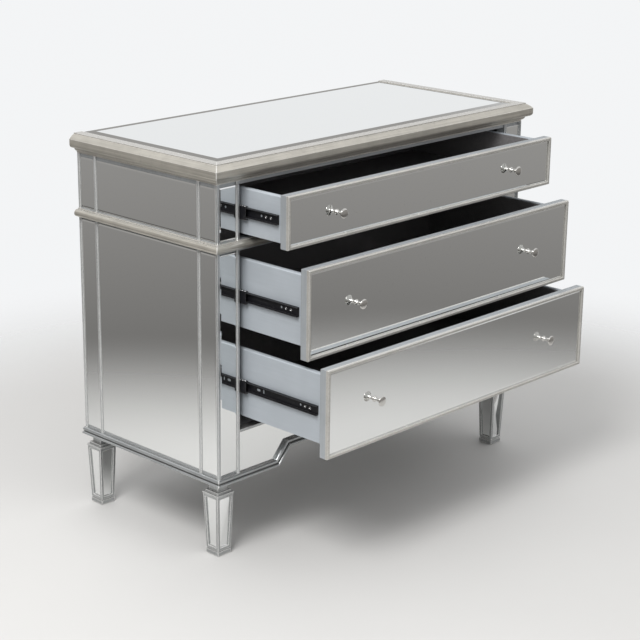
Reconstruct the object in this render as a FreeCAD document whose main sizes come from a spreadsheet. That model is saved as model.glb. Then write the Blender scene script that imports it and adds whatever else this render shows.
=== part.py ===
"""A mirrored chest: three drawers on ball-bearing slides in a case on tapered legs.

Lengths are in millimetres. X runs to the viewer's right, the front faces -Y, Z is up. The origin lies on
the floor under the middle of the chest as it stands with its drawers pulled out by the three open sizes.
"""
import FreeCAD, Part
import os
import Sketcher

V = FreeCAD.Vector

SIZES = (
    ("case_width", 982, "over the outer faces of the side boards"),
    ("case_depth", 441, "from the stiles' front face to the back"),
    ("side_board", 16, "thickness of a side board"),
    ("stile_width", 58, "front stile, from the side's face to the opening"),
    ("stile_board", 18, "thickness of the stiles and the apron"),
    ("back_board", 6, "thickness of the back"),
    ("top_board", 14, "thickness of the top board"),
    ("bottom_board", 16, "thickness of the bottom board"),
    ("rail_depth", 60, "front to back of the top and waist rails"),
    ("apron_height", 111, "from the case's lower edge to the bottom board's top"),
    ("bottom_gap", 3, "under the bottom drawer's front"),
    ("lower_front", 189.5, "height of the middle and bottom drawer fronts"),
    ("front_gap", 6, "between the middle and bottom drawer fronts"),
    ("reveal", 2.5, "between a drawer front and the rail above or below it"),
    ("waist_rail", 24.5, "height of the waist rail"),
    ("top_front", 110.5, "height of the top drawer's front"),
    ("top_rail", 32, "height of the top rail"),
    ("side_gap", 1.9, "between a drawer front and a stile"),
    ("block_side", 60, "corner block, across"),
    ("block_height", 40, "corner block, high"),
    ("fit", 0.3, "gap round each glass"),
    ("glass", 3, "thickness of the mirror glass on the sides and fronts"),
    ("pane_edge", 2.5, "thickness of that glass at the edge of its bevel"),
    ("pane_bevel", 3.5, "width of that bevel"),
    ("top_glass", 6, "thickness of the top's mirror glass"),
    ("bevel_width", 21, "bevel round the top glass"),
    ("bevel_drop", 1.5, "depth of that bevel at the edge"),
    ("glass_back", 2, "top glass to the back edge of the top"),
    ("mirror_margin", 4, "bare board between a mirror and a moulding"),
    ("strip_width", 47, "narrow mirrors at the front and rear of a side"),
    ("trim_width", 8, "strips between the side mirrors"),
    ("rear_trim", 7.5, "strip along the rear edge of a side"),
    ("inner_trim", 8.5, "strip beside the drawer opening"),
    ("trim_ledge", 3.6, "height of a strip's ledges"),
    ("trim_crest", 5.2, "height of a strip's crest"),
    ("crest_inset", 1.6, "from a strip's edge to its crest"),
    ("crest_chamfer", 1.1, "chamfer along a crest"),
    ("corner_front", 3, "corner strip, lap on the stile"),
    ("corner_side", 2.5, "corner strip, lap on the side"),
    ("crown_height", 44, "crown moulding, high"),
    ("crown_lap", 11, "crown moulding, lap over the top board"),
    ("crown_arris", 11.2, "reach of its upper arris"),
    ("crown_step", 2.5, "step under that arris"),
    ("crown_ridge", 24, "reach of its ridge"),
    ("ridge_drop", 12.5, "from the top down to the ridge"),
    ("ridge_band", 11, "flat under the ridge"),
    ("slope_radius", 30, "swell of the upper slope"),
    ("bead_drop", 32, "from the top down to the underside of the bead"),
    ("bead_reach", 15, "reach of the bead's underside"),
    ("ovolo_reach", 11, "reach of the ovolo under the bead"),
    ("ovolo_foot", 4.5, "reach of the fillet under the ovolo"),
    ("ovolo_fillet", 3, "height of that fillet"),
    ("waist_height", 20, "waist moulding, high"),
    ("waist_reach", 17, "waist moulding, out from the board"),
    ("waist_ledge", 6, "reach of its ledges"),
    ("waist_fillet", 2, "height of its ledges"),
    ("upper_bead", 8.4, "height of the base moulding's upper bead"),
    ("upper_reach", 11.8, "reach of that bead"),
    ("bead_gap", 1.2, "fillet between the two beads"),
    ("gap_reach", 7.5, "reach of that fillet"),
    ("lower_bead", 5.6, "height of the base moulding's lower bead"),
    ("lower_reach", 14.3, "reach of that bead"),
    ("arch_width", 646, "apron arch, across its foot"),
    ("arch_slope", 33, "run of each slanted end of the arch"),
    ("arch_rise", 38, "height of the arch"),
    ("apron_lip", 5, "height of the strip along the apron's top"),
    ("glide_height", 1, "pad under a foot"),
    ("glide_radius", 12, "pad under a foot"),
    ("foot_band", 9.5, "height of the band round a foot"),
    ("foot_side", 38, "side of that band"),
    ("foot_groove", 2, "height of the groove over the band"),
    ("groove_side", 34, "side of the leg in the groove"),
    ("leg_height", 126.4, "height of a leg's tapered part"),
    ("leg_foot", 37, "side of the taper at its foot"),
    ("leg_head", 46, "side of the taper at its head"),
    ("cap_height", 3.6, "slab over the taper"),
    ("cap_side", 48, "side of that slab"),
    ("step_height", 5, "step over the slab"),
    ("step_side", 39, "side of the step"),
    ("neck_height", 22.5, "neck between the step and the case"),
    ("neck_side", 28, "side of the neck"),
    ("leg_border", 6.5, "frame round a leg's mirrors"),
    ("leg_recess", 3.5, "depth of a leg's mirrors behind their frame"),
    ("leg_glass", 2, "thickness of a leg's mirrors"),
    ("leg_from_side", 23.1, "leg's middle to the side board's face"),
    ("leg_from_front", 27.7, "leg's middle to the stile's face"),
    ("leg_from_back", 23.1, "leg's middle to the case's back"),
    ("front_board", 15.5, "thickness of a drawer front's board"),
    ("frame_depth", 7, "strips round a drawer front, deep"),
    ("frame_width", 7.5, "strips round a drawer front, wide"),
    ("frame_chamfer", 1.6, "chamfer along those strips"),
    ("front_proud", 3, "closed drawer front, out from the stile's face"),
    ("box_side", 12, "thickness of a drawer's sides"),
    ("box_back", 12, "thickness of a drawer's back"),
    ("box_bottom", 5, "thickness of a drawer's bottom"),
    ("box_depth", 390, "drawer box behind its front"),
    ("bottom_lift", 10, "drawer bottom over the lower edge of the sides"),
    ("groove_depth", 6, "groove for the drawer bottom"),
    ("side_chamfer", 2.5, "chamfer along the top of the sides"),
    ("back_drop", 4, "drawer back under the top of the sides"),
    ("top_box_drop", 6, "top drawer's sides under its front's top"),
    ("top_box_lift", 8, "top drawer's sides over its front's foot"),
    ("low_box_drop", 15, "lower drawers' sides under their fronts' tops"),
    ("low_box_lift", 24.5, "lower drawers' sides over their fronts' feet"),
    ("slide_space", 12.7, "room for a slide beside a drawer box"),
    ("slide_length", 350, "length of a slide's members"),
    ("slide_sheet", 1.2, "sheet of a slide's members"),
    ("rail_height", 35, "height of the case member"),
    ("rail_lip", 9.7, "depth of the case member"),
    ("rail_setback", 1.5, "case member behind a closed drawer front"),
    ("runner_height", 20.5, "height of the drawer member"),
    ("runner_lip", 8, "depth of the drawer member"),
    ("runner_setback", 14.5, "drawer member behind its drawer front"),
    ("ball_gap", 0.3, "running gap on either side of the ball cage"),
    ("cage_lip", 7.5, "depth of the ball cage"),
    ("cage_length", 170, "length of the ball cage"),
    ("cage_reach", 20, "ball cage out of the case as it stands"),
    ("hole_radius", 2.6, "screw holes in the drawer member"),
    ("hole_first", 22, "first screw hole from the member's front end"),
    ("hole_pitch", 14, "screw holes, apart"),
    ("slot_from_end", 157, "upright slot from the member's front end"),
    ("slot_radius", 1.9, "half the width of that slot"),
    ("slot_height", 5, "straight length of that slot"),
    ("oval_step", 15, "level slot behind the upright one"),
    ("batten_height", 45, "packing behind the case member"),
    ("knob_spread", 575, "between the two knobs of a drawer"),
    ("knob_base", 6.5, "radius of a knob's foot on the glass"),
    ("knob_neck", 3.5, "radius of the neck"),
    ("neck_start", 4.5, "neck's near end, out from the glass"),
    ("neck_end", 9, "neck's far end, out from the glass"),
    ("knob_head", 11, "radius of the head"),
    ("flare_end", 19.8, "widest part of the head, out from the glass"),
    ("knob_face", 9.6, "radius of the head's flat face"),
    ("knob_length", 23, "knob out from the glass"),
    ("top_open", 140, "top drawer pulled out"),
    ("middle_open", 198, "middle drawer pulled out"),
    ("bottom_open", 254, "bottom drawer pulled out"),
)


def number(value):
    """The plain number of a size or of a number."""
    return value.number if isinstance(value, Size) else value


def formula(value):
    """The sheet formula of a size or of a number."""
    return value.formula if isinstance(value, Size) else repr(value)


class Size:
    """A length that carries its number and the sheet formula that gives it."""

    def __init__(self, amount, text):
        self.number = amount
        self.formula = text

    def __add__(self, other):
        return Size(self.number + number(other), f"({self.formula} + {formula(other)})")

    def __sub__(self, other):
        return Size(self.number - number(other), f"({self.formula} - {formula(other)})")

    def __rsub__(self, other):
        return Size(number(other) - self.number, f"({formula(other)} - {self.formula})")

    def __mul__(self, other):
        return Size(self.number * number(other), f"({self.formula} * {formula(other)})")

    def __truediv__(self, other):
        return Size(self.number / number(other), f"({self.formula} / {formula(other)})")

    def __neg__(self):
        return Size(-self.number, f"(-{self.formula})")

    __radd__ = __add__
    __rmul__ = __mul__


doc = FreeCAD.newDocument("mirrored_chest")
sheet = doc.addObject("Spreadsheet::Sheet", "Sizes")
for row, (alias, amount, meaning) in enumerate(SIZES, start=1):
    sheet.set(f"A{row}", meaning)
    sheet.set(f"B{row}", str(amount))
    sheet.setAlias(f"B{row}", alias)
doc.recompute()

S = {alias: Size(amount, f"Sizes.{alias}") for alias, amount, meaning in SIZES}
nodes = {}


def bind(item, name, value):
    """Tie a property to a size."""
    item.setExpression(name, formula(value))


def keep(label, item):
    """Make an object one of the chest's pieces, under a label of its own."""
    item.Label = label
    nodes[label] = item
    return item


def block(name, low, high):
    """A board between two opposite corners."""
    board = doc.addObject("Part::Box", name)
    for side, start, end in zip(("Length", "Width", "Height"), low, high):
        bind(board, side, end - start)
    for axis, start in zip("xyz", low):
        bind(board, f"Placement.Base.{axis}", start)
    return board


def mirrored(name, item, normal=V(1, 0, 0), across=None):
    """The same piece on the other side of the chest, or across a plane square to Y or Z."""
    twin = doc.addObject("Part::Mirroring", name)
    twin.Source = item
    twin.Normal = normal
    if across is not None:
        axis = "y" if normal.y else "z"
        bind(twin, f"Base.{axis}", across)
    return twin


def group(name, members):
    """Several solids that share one piece's name."""
    bundle = doc.addObject("Part::Compound", name)
    bundle.Links = members
    return bundle


def pair(name, item):
    """A piece and its twin on the other side."""
    return group(name, [item, mirrored(f"{name}_twin", item)])


def cut(name, base, tool):
    """A piece with another taken out of it."""
    result = doc.addObject("Part::Cut", name)
    result.Base = base
    result.Tool = tool
    return result


def common(name, base, tool):
    """What two solids share."""
    result = doc.addObject("Part::Common", name)
    result.Base = base
    result.Tool = tool
    return result


def body(name):
    """An empty body for sketches and features."""
    return doc.addObject("PartDesign::Body", name)


def edge_between(start, end, radius):
    """A sketch edge, straight or round, and which of its two ends is the start."""
    first = V(number(start[0]), number(start[1]), 0)
    last = V(number(end[0]), number(end[1]), 0)
    if radius is None:
        return Part.LineSegment(first, last), 1
    size = abs(number(radius))
    chord = last - first
    left = V(-chord.y, chord.x, 0).normalize()
    turns_left = number(radius) > 0
    away = max(size**2 - (chord.Length / 2) ** 2, 0) ** 0.5
    centre = (first + last) / 2 + left * (away if turns_left else -away)
    circle = Part.Circle(centre, V(0, 0, 1), size)
    if turns_left:
        return Part.ArcOfCircle(circle, circle.parameter(first), circle.parameter(last)), 1
    return Part.ArcOfCircle(circle, circle.parameter(last), circle.parameter(first)), 2


def sketch(owner, name, role, loops, level=0, closed=True):
    """A sketch on one of its body's planes, at a level along the plane's own axis.

    Each loop lists points (across, up). A third entry makes the edge that follows round: its centre lies
    to the left of the way round for a positive radius and to the right for a negative one.
    """
    drawing = owner.newObject("Sketcher::SketchObject", name)
    plane = next(item for item in owner.Origin.OriginFeatures if item.Role == role)
    drawing.AttachmentSupport = [(plane, "")]
    drawing.MapMode = "FlatFace"
    bind(drawing, "AttachmentOffset.Base.z", -level if role == "XZ_Plane" else level)
    for points in loops:
        count = len(points) if closed else len(points) - 1
        edges = []
        for index in range(count):
            radius = points[index][2] if len(points[index]) > 2 else None
            shape, start = edge_between(points[index], points[(index + 1) % len(points)], radius)
            edge = drawing.addGeometry(shape, False)
            edges.append((edge, start, 3 - start))
            if radius is not None:
                size = -radius if number(radius) < 0 else radius
                rule = drawing.addConstraint(Sketcher.Constraint("Radius", edge, number(size)))
                bind(drawing, f"Constraints[{rule}]", size)
        for index in range(count if closed else count - 1):
            here, after = edges[index], edges[(index + 1) % count]
            drawing.addConstraint(Sketcher.Constraint("Coincident", here[0], here[2], after[0], after[1]))
        corners = [(edge, start) for edge, start, end in edges]
        if not closed:
            corners.append((edges[-1][0], edges[-1][2]))
        for (edge, end), point in zip(corners, points):
            for kind, value in zip(("DistanceX", "DistanceY"), point):
                rule = drawing.addConstraint(Sketcher.Constraint(kind, -1, 1, edge, end, number(value)))
                bind(drawing, f"Constraints[{rule}]", value)
    return drawing


def pad(owner, name, role, points, level, length):
    """Extrude an outline from a level in the positive direction of the axis across its plane."""
    feature = owner.newObject("PartDesign::Pad", name)
    feature.Profile = sketch(owner, f"{name}_outline", role, [points], level)
    bind(feature, "Length", length)
    feature.Reversed = role == "XZ_Plane"
    return feature


def bar(name, role, points, level, length):
    """A body of one extruded outline."""
    piece = body(name)
    pad(piece, f"{name}_pad", role, points, level, length)
    return piece


def frustum(owner, name, foot, head, low, high, role="XY_Plane"):
    """A block that tapers along a plane's own axis from one rectangle to another."""
    wedge = owner.newObject("PartDesign::AdditiveWedge", name)
    plane = next(item for item in owner.Origin.OriginFeatures if item.Role == role)
    wedge.AttachmentSupport = [(plane, "")]
    wedge.MapMode = "FlatFace"
    wedge.AttachmentOffset = FreeCAD.Placement(V(0, 0, 0), FreeCAD.Rotation(V(1, 0, 0), 90))
    for mark, (near, _, far, _) in (("", foot), ("2", head)):
        bind(wedge, f"X{mark}min", near[0])
        bind(wedge, f"X{mark}max", far[0])
        bind(wedge, f"Z{mark}min", -far[1])
        bind(wedge, f"Z{mark}max", -near[1])
    bind(wedge, "Ymin", low)
    bind(wedge, "Ymax", high)
    return wedge


def notch(owner, name, role, loops):
    """Cut outlines right through a body, both ways from their plane."""
    feature = owner.newObject("PartDesign::Pocket", name)
    feature.Profile = sketch(owner, f"{name}_outline", role, loops)
    feature.Type = "ThroughAll"
    feature.Midplane = True
    before = feature.BaseFeature
    doc.recompute()
    if feature.Shape.Volume >= before.Shape.Volume:
        raise RuntimeError(f"{name} cuts nothing")
    return feature


def rectangle(low, high):
    """The four corners of an upright rectangle."""
    return [low, (high[0], low[1]), high, (low[0], high[1])]


def bevelled_pane(name, role, low, high, seat):
    """A mirror pane with a bevel round its face, on a seat that faces -Y or +X."""
    forwards = role == "XZ_Plane"
    edge = S["pane_edge"]
    inset = S["pane_bevel"]
    face = rectangle((low[0] + inset, low[1] + inset), (high[0] - inset, high[1] - inset))
    outwards = -seat if forwards else seat
    pane = body(name)
    pad(pane, f"{name}_plate", role, rectangle(low, high), seat - edge if forwards else seat, edge)
    foot, head = outwards + edge, outwards + S["glass"]
    frustum(pane, f"{name}_bevel", rectangle(low, high), face, foot, head, role)
    return pane


# Places that most pieces share

half = S["case_width"] / 2
left = -half
knob_proud = S["knob_length"] - S["frame_depth"] + S["glass"]
middle = (S["front_proud"] + S["bottom_open"] + knob_proud) / 2
front = middle - S["case_depth"] / 2
back = middle + S["case_depth"] / 2
inside = half - S["side_board"]
opening = half - S["stile_width"]
behind_stile = front + S["stile_board"]
before_back = back - S["back_board"]

taper_foot = S["glide_height"] + S["foot_band"] + S["foot_groove"]
base = taper_foot + S["leg_height"] + S["cap_height"] + S["step_height"] + S["neck_height"]
floor_top = base + S["apron_height"]
bottom_low = floor_top + S["bottom_gap"]
middle_low = bottom_low + S["lower_front"] + S["front_gap"]
waist_low = middle_low + S["lower_front"] + S["reveal"]
waist_top = waist_low + S["waist_rail"]
top_low = waist_top + S["reveal"]
frieze = top_low + S["top_front"] + S["reveal"]
board_low = frieze + S["top_rail"]
board_top = board_low + S["top_board"]
summit = board_top + S["top_glass"]
crown_low = summit - S["crown_height"]
bead_low = waist_top - S["waist_height"]
base_top = base + S["lower_bead"] + S["bead_gap"] + S["upper_bead"]


# The case

side = block("left_side_panel", (left, behind_stile, base), (-inside, back, board_low))
keep("left_side_panel", side)
keep("right_side_panel", mirrored("right_side_panel", side))
keep("back_panel", block("back_panel", (-inside, before_back, base), (inside, back, board_low)))
keep("top_board", block("top_board", (left, front, board_low), (half, back, board_top)))
floor_low = floor_top - S["bottom_board"]
keep("bottom_panel", block("bottom_panel", (-inside, behind_stile, floor_low), (inside, before_back, floor_top)))
stile = block("left_stile", (left, front, base), (-opening, behind_stile, board_low))
keep("front_stiles", pair("front_stiles", stile))
rail_end = front + S["rail_depth"]
keep("top_rail", block("top_rail", (-opening, front, frieze), (opening, rail_end, board_low)))
keep("waist_rail", block("waist_rail", (-opening, front, waist_low), (opening, rail_end, waist_top)))

block_edge = -inside + S["block_side"]
block_top = base + S["block_height"]
front_block = block(
    "front_block", (-inside, behind_stile, base), (block_edge, behind_stile + S["block_side"], block_top)
)
rear_block = block(
    "rear_block", (-inside, before_back - S["block_side"], base), (block_edge, before_back, block_top)
)
keep("corner_blocks", group("corner_blocks", [pair("front_blocks", front_block), pair("rear_blocks", rear_block)]))


# The apron, arched between its low ends, and the mirror on it

arch_foot = S["arch_width"] / 2
arch_top = arch_foot - S["arch_slope"]
slope_formula = f"tan(atan({formula(S['arch_rise'] / S['arch_slope'])}) / 2)"
slope_run = (S["arch_slope"] * S["arch_slope"] + S["arch_rise"] * S["arch_rise"]).number ** 0.5
slope_lean = Size(S["arch_rise"].number / (slope_run + S["arch_slope"].number), slope_formula)


def arch(inset, height):
    """The arch's line from left to right, moved up off the apron's edge by a height."""
    foot = arch_foot + height * slope_lean
    shoulder = arch_top + height * slope_lean
    low = base + height
    high = low + S["arch_rise"]
    return [(-inset, low), (-foot, low), (-shoulder, high), (shoulder, high), (foot, low), (inset, low)]


apron = body("apron")
apron_line = arch(opening, 0) + [(opening, floor_top), (-opening, floor_top)]
pad(apron, "apron_board", "XZ_Plane", apron_line, front, S["stile_board"])
lip_low = floor_top - S["apron_lip"]
lip_line = rectangle((-opening, lip_low), (opening, floor_top))
pad(apron, "apron_strip", "XZ_Plane", lip_line, front - S["trim_ledge"], S["trim_ledge"])
keep("apron", apron)
pane_low = base_top - base + S["fit"]
pane_edge = opening - S["fit"]
pane_high = lip_low - S["fit"]
pane_line = arch(pane_edge, pane_low) + [(pane_edge, pane_high), (-pane_edge, pane_high)]
keep("apron_mirror", bar("apron_mirror", "XZ_Plane", pane_line, front - S["glass"], S["glass"]))


# Mouldings: each profile is drawn outwards from the face that it is fixed to

def crown_profile(face):
    """Rim with a step, sloping face, ridge, bead, and an ovolo down to the frieze."""
    bead_run = S["crown_ridge"] - S["bead_reach"]
    bead_fall = S["bead_drop"] - S["ridge_drop"] - S["ridge_band"]
    bead = (bead_run * bead_run + bead_fall * bead_fall) / (bead_run * 2)
    ovolo_low = crown_low + S["ovolo_fillet"]
    ovolo_run = S["ovolo_reach"] - S["ovolo_foot"]
    ovolo_fall = summit - S["bead_drop"] - ovolo_low
    ovolo = (ovolo_run * ovolo_run + ovolo_fall * ovolo_fall) / (ovolo_run * 2)
    ridge = summit - S["ridge_drop"]
    return [
        (face + S["crown_lap"], board_top),
        (face + S["crown_lap"], summit),
        (face - S["crown_arris"], summit),
        (face - S["crown_arris"], summit - S["crown_step"], S["slope_radius"]),
        (face - S["crown_ridge"], ridge),
        (face - S["crown_ridge"], ridge - S["ridge_band"], bead),
        (face - S["bead_reach"], summit - S["bead_drop"]),
        (face - S["ovolo_reach"], summit - S["bead_drop"], ovolo),
        (face - S["ovolo_foot"], ovolo_low),
        (face - S["ovolo_foot"], crown_low),
        (face, crown_low),
        (face, board_top),
    ]


def waist_profile(face):
    """A half-round between two ledges."""
    bead = S["waist_height"] / 2 - S["waist_fillet"]
    shoulder = face - S["waist_reach"] + bead
    ledge = face - S["waist_ledge"]
    high = waist_top - S["waist_fillet"]
    low = bead_low + S["waist_fillet"]
    return [
        (face, waist_top),
        (ledge, waist_top),
        (ledge, high),
        (shoulder, high, bead),
        (shoulder - bead, high - bead, bead),
        (shoulder, low),
        (ledge, low),
        (ledge, bead_low),
        (face, bead_low),
    ]


def base_profile(face):
    """Two half-round beads with a fillet between them, the lower one further out."""
    upper = S["upper_bead"] / 2
    lower = S["lower_bead"] / 2
    lower_top = base + S["lower_bead"]
    upper_low = lower_top + S["bead_gap"]
    upper_shoulder = face - S["upper_reach"] + upper
    lower_shoulder = face - S["lower_reach"] + lower
    return [
        (face, base_top),
        (upper_shoulder, base_top, upper),
        (upper_shoulder - upper, upper_low + upper, upper),
        (upper_shoulder, upper_low),
        (face - S["gap_reach"], upper_low),
        (face - S["gap_reach"], lower_top),
        (lower_shoulder, lower_top, lower),
        (lower_shoulder - lower, base + lower, lower),
        (lower_shoulder, base),
        (face, base),
    ]


def corner_cuts(reach):
    """Triangles beyond the mitre at the left front corner: for the front length and for the side length."""
    past = reach + S["crown_lap"] * 2
    inner = (left + past, front + past)
    outer = (left - past, front - past)
    return [inner, (left - past, front + past), outer], [inner, outer, (left + past, front - past)]


def across(points):
    """An outline's twin on the other side, in the same sense."""
    return [(-x, y) for x, y in reversed(points)]


def mitred_sides(name, profile, reach):
    """The left and right lengths of a moulding, mitred at the front and square at the back."""
    overrun = front - reach - S["crown_lap"]
    length = bar(f"{name}_left", "XZ_Plane", profile(left), overrun, back - overrun)
    notch(length, f"{name}_left_mitre", "XY_Plane", [corner_cuts(reach)[1]])
    keep(f"{name}_left", length)
    keep(f"{name}_right", mirrored(f"{name}_right", length))


def mitred_front(name, profile, reach):
    """The front length of a moulding, mitred at both ends."""
    overrun = half + reach + S["crown_lap"]
    length = bar(f"{name}_front", "YZ_Plane", profile(front), -overrun, overrun * 2)
    ends = corner_cuts(reach)[0]
    notch(length, f"{name}_front_mitres", "XY_Plane", [ends, across(ends)])
    keep(f"{name}_front", length)


mitred_front("top_moulding", crown_profile, S["crown_ridge"])
mitred_sides("top_moulding", crown_profile, S["crown_ridge"])
mitred_front("waist_moulding", waist_profile, S["waist_reach"])
mitred_sides("waist_moulding", waist_profile, S["waist_reach"])
mitred_sides("base_moulding", base_profile, S["lower_reach"])

base_front = body("base_moulding_front")
overrun = half + S["lower_reach"] + S["crown_lap"]
sweep = base_front.newObject("PartDesign::AdditivePipe", "base_moulding_sweep")
sweep.Profile = sketch(base_front, "base_moulding_profile", "YZ_Plane", [base_profile(front)], -overrun)
arch_path = sketch(base_front, "base_moulding_path", "XZ_Plane", [arch(overrun, 0)], front, closed=False)
sweep.Spine = (arch_path, [f"Edge{count}" for count in range(1, 6)])
sweep.Transition = "Right corner"
doc.recompute()
base_ends = corner_cuts(S["lower_reach"])[0]
notch(base_front, "base_moulding_mitres", "XY_Plane", [base_ends, across(base_ends)])
keep("base_moulding_front", base_front)


# The top's bevelled mirror

top_mirror = body("top_mirror")
pane_left = left + S["crown_lap"] + S["fit"]
pane_front = front + S["crown_lap"] + S["fit"]
pane_back = back - S["glass_back"]
pane = rectangle((pane_left, pane_front), (-pane_left, pane_back))
bevel = S["bevel_width"]
inner_pane = rectangle((pane_left + bevel, pane_front + bevel), (-pane_left - bevel, pane_back - bevel))
edge_height = S["top_glass"] - S["bevel_drop"]
pad(top_mirror, "top_mirror_edge", "XY_Plane", pane, board_top, edge_height)
frustum(top_mirror, "top_mirror_bevel", pane, inner_pane, board_top + edge_height, summit)
keep("top_mirror", top_mirror)


# Mirrors and strips on the sides and stiles, in a lower and an upper zone

ZONES = (("lower", base_top, bead_low), ("upper", waist_top, crown_low))
PANES = {"lower": (base_top, bead_low), "upper": (waist_top, frieze + S["mirror_margin"])}


def strip_outline(start, end, face, across_x):
    """A strip's section: two ledges and a chamfered crest, standing out from a face towards -X or -Y."""
    inset = S["crest_inset"]
    slant = S["crest_chamfer"]
    ledge = face - S["trim_ledge"]
    crest = face - S["trim_crest"]
    points = [
        (start, face),
        (start, ledge),
        (start + inset, ledge),
        (start + inset, crest + slant),
        (start + inset + slant, crest),
        (end - inset - slant, crest),
        (end - inset, crest + slant),
        (end - inset, ledge),
        (end, ledge),
        (end, face),
    ]
    return points if across_x else [(out, along) for along, out in points]


corner_back = front + S["corner_side"]
front_trim = corner_back + S["strip_width"]
rear_pane = back - S["rear_trim"]
rear_trim = rear_pane - S["strip_width"] - S["trim_width"]
SIDE_PANES = (
    ("front", corner_back, front_trim),
    ("centre", front_trim + S["trim_width"], rear_trim),
    ("rear", rear_trim + S["trim_width"], rear_pane),
)
SIDE_STRIPS = (
    ("front", front_trim, front_trim + S["trim_width"]),
    ("middle", rear_trim, rear_trim + S["trim_width"]),
    ("rear", rear_pane, back),
)
corner_edge = left + S["corner_front"]
inner_edge = -opening - S["inner_trim"]

side_panes = []
side_strips = []
stile_panes = []
stile_strips = []
for zone, low, high in ZONES:
    pane_base = PANES[zone][0] + S["mirror_margin"]
    pane_head = PANES[zone][1] - S["mirror_margin"]
    for place, start, end in SIDE_PANES:
        low_corner = (start + S["fit"], pane_base)
        high_corner = (end - S["fit"], pane_head)
        side_panes.append(bevelled_pane(f"{zone}_{place}_pane", "YZ_Plane", low_corner, high_corner, half))
    for place, start, end in SIDE_STRIPS:
        section = strip_outline(start, end, left, False)
        side_strips.append(bar(f"{zone}_{place}_strip", "XY_Plane", section, low, high - low))
    low_corner = (corner_edge + S["fit"], pane_base)
    high_corner = (inner_edge - S["fit"], pane_head)
    stile_panes.append(bevelled_pane(f"{zone}_stile_pane", "XZ_Plane", low_corner, high_corner, front))
    section = strip_outline(inner_edge, -opening, front, True)
    stile_strips.append(bar(f"{zone}_inner_strip", "XY_Plane", section, low, high - low))
    slant = S["crest_chamfer"]
    outer_x = left - S["trim_crest"]
    outer_y = front - S["trim_crest"]
    corner = [
        (left, front),
        (left, corner_back),
        (left - S["trim_ledge"], corner_back),
        (left - S["trim_ledge"], front),
        (outer_x, front),
        (outer_x, outer_y + slant),
        (outer_x + slant, outer_y),
        (left, outer_y),
        (left, front - S["trim_ledge"]),
        (corner_edge, front - S["trim_ledge"]),
        (corner_edge, front),
    ]
    stile_strips.append(bar(f"{zone}_corner_strip", "XY_Plane", corner, low, high - low))

keep("side_mirrors", pair("side_mirrors", group("right_panes", side_panes)))
keep("side_trims", pair("side_trims", group("left_strips", side_strips)))
keep("stile_mirrors", pair("stile_mirrors", group("left_stile_panes", stile_panes)))
keep("stile_trims", pair("stile_trims", group("left_stile_strips", stile_strips)))


# Legs, built about their own axis and then set under a corner

leg_x = left + S["leg_from_side"]
front_leg_y = front + S["leg_from_front"]
back_leg_y = back - S["leg_from_back"]
between_legs = (front_leg_y + back_leg_y) / 2
taper_head = taper_foot + S["leg_height"]
ALONG_Y = V(0, 1, 0)


def square(side):
    """A square about the leg's axis."""
    return rectangle((-side / 2, -side / 2), (side / 2, side / 2))


def taper(owner, name, inset):
    """The tapered part of a leg, or a smaller one inside it."""
    foot = square(S["leg_foot"] - inset * 2)
    head = square(S["leg_head"] - inset * 2)
    frustum(owner, name, foot, head, taper_foot, taper_head)


def under_corner(item):
    """Move a piece of the leg from its own axis to the left front corner."""
    bind(item, "Placement.Base.x", leg_x)
    bind(item, "Placement.Base.y", front_leg_y)
    return item


turned_leg = under_corner(body("leg_blank"))
pad(turned_leg, "foot_band", "XY_Plane", square(S["foot_side"]), S["glide_height"], S["foot_band"])
groove_low = S["glide_height"] + S["foot_band"]
pad(turned_leg, "foot_groove", "XY_Plane", square(S["groove_side"]), groove_low, S["foot_groove"])
taper(turned_leg, "leg_taper", 0)
step_low = taper_head + S["cap_height"]
neck_low = step_low + S["step_height"]
pad(turned_leg, "leg_cap", "XY_Plane", square(S["cap_side"]), taper_head, S["cap_height"])
pad(turned_leg, "leg_step", "XY_Plane", square(S["step_side"]), step_low, S["step_height"])
pad(turned_leg, "leg_neck", "XY_Plane", square(S["neck_side"]), neck_low, S["neck_height"])

outer_taper = under_corner(body("outer_taper"))
taper(outer_taper, "outer_wedge", 0)
glass_taper = under_corner(body("glass_taper"))
taper(glass_taper, "glass_wedge", S["leg_recess"])
inner_taper = under_corner(body("inner_taper"))
taper(inner_taper, "inner_wedge", S["leg_recess"] + S["leg_glass"])
frame_skin = cut("leg_frame_skin", outer_taper, inner_taper)
glass_skin = cut("leg_glass_skin", glass_taper, inner_taper)

pane_foot = S["leg_foot"] / 2 - S["leg_border"]
pane_head = S["leg_head"] / 2 - S["leg_border"]
pane_low = taper_foot + S["leg_border"]
pane_high = taper_head - S["leg_border"]
leg_pane = [(-pane_foot, pane_low), (pane_foot, pane_low), (pane_head, pane_high), (-pane_head, pane_high)]
leg_windows = []
leg_panes = []
for facing, role in (("fore_and_aft", "XZ_Plane"), ("left_and_right", "YZ_Plane")):
    prism = under_corner(bar(f"{facing}_prism", role, leg_pane, -S["leg_head"], S["leg_head"] * 2))
    leg_windows.append(common(f"{facing}_windows", frame_skin, prism))
    leg_panes.append(common(f"{facing}_panes", glass_skin, prism))
front_panes = group("front_left_panes", leg_panes)

front_leg = cut("front_left_leg", turned_leg, group("front_left_windows", leg_windows))
back_leg = mirrored("back_left_leg", front_leg, ALONG_Y, between_legs)
keep("front_left_leg", front_leg)
keep("front_right_leg", mirrored("front_right_leg", front_leg))
keep("back_left_leg", back_leg)
keep("back_right_leg", mirrored("back_right_leg", back_leg))

left_panes = group("left_leg_panes", [front_panes, mirrored("back_panes", front_panes, ALONG_Y, between_legs)])
keep("leg_mirrors", pair("leg_mirrors", left_panes))

glide = doc.addObject("Part::Cylinder", "front_glide")
bind(glide, "Radius", S["glide_radius"])
bind(glide, "Height", S["glide_height"])
under_corner(glide)
left_glides = group("left_glides", [glide, mirrored("back_glide", glide, ALONG_Y, between_legs)])
keep("foot_glides", pair("foot_glides", left_glides))


# Drawers and their slides

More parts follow.
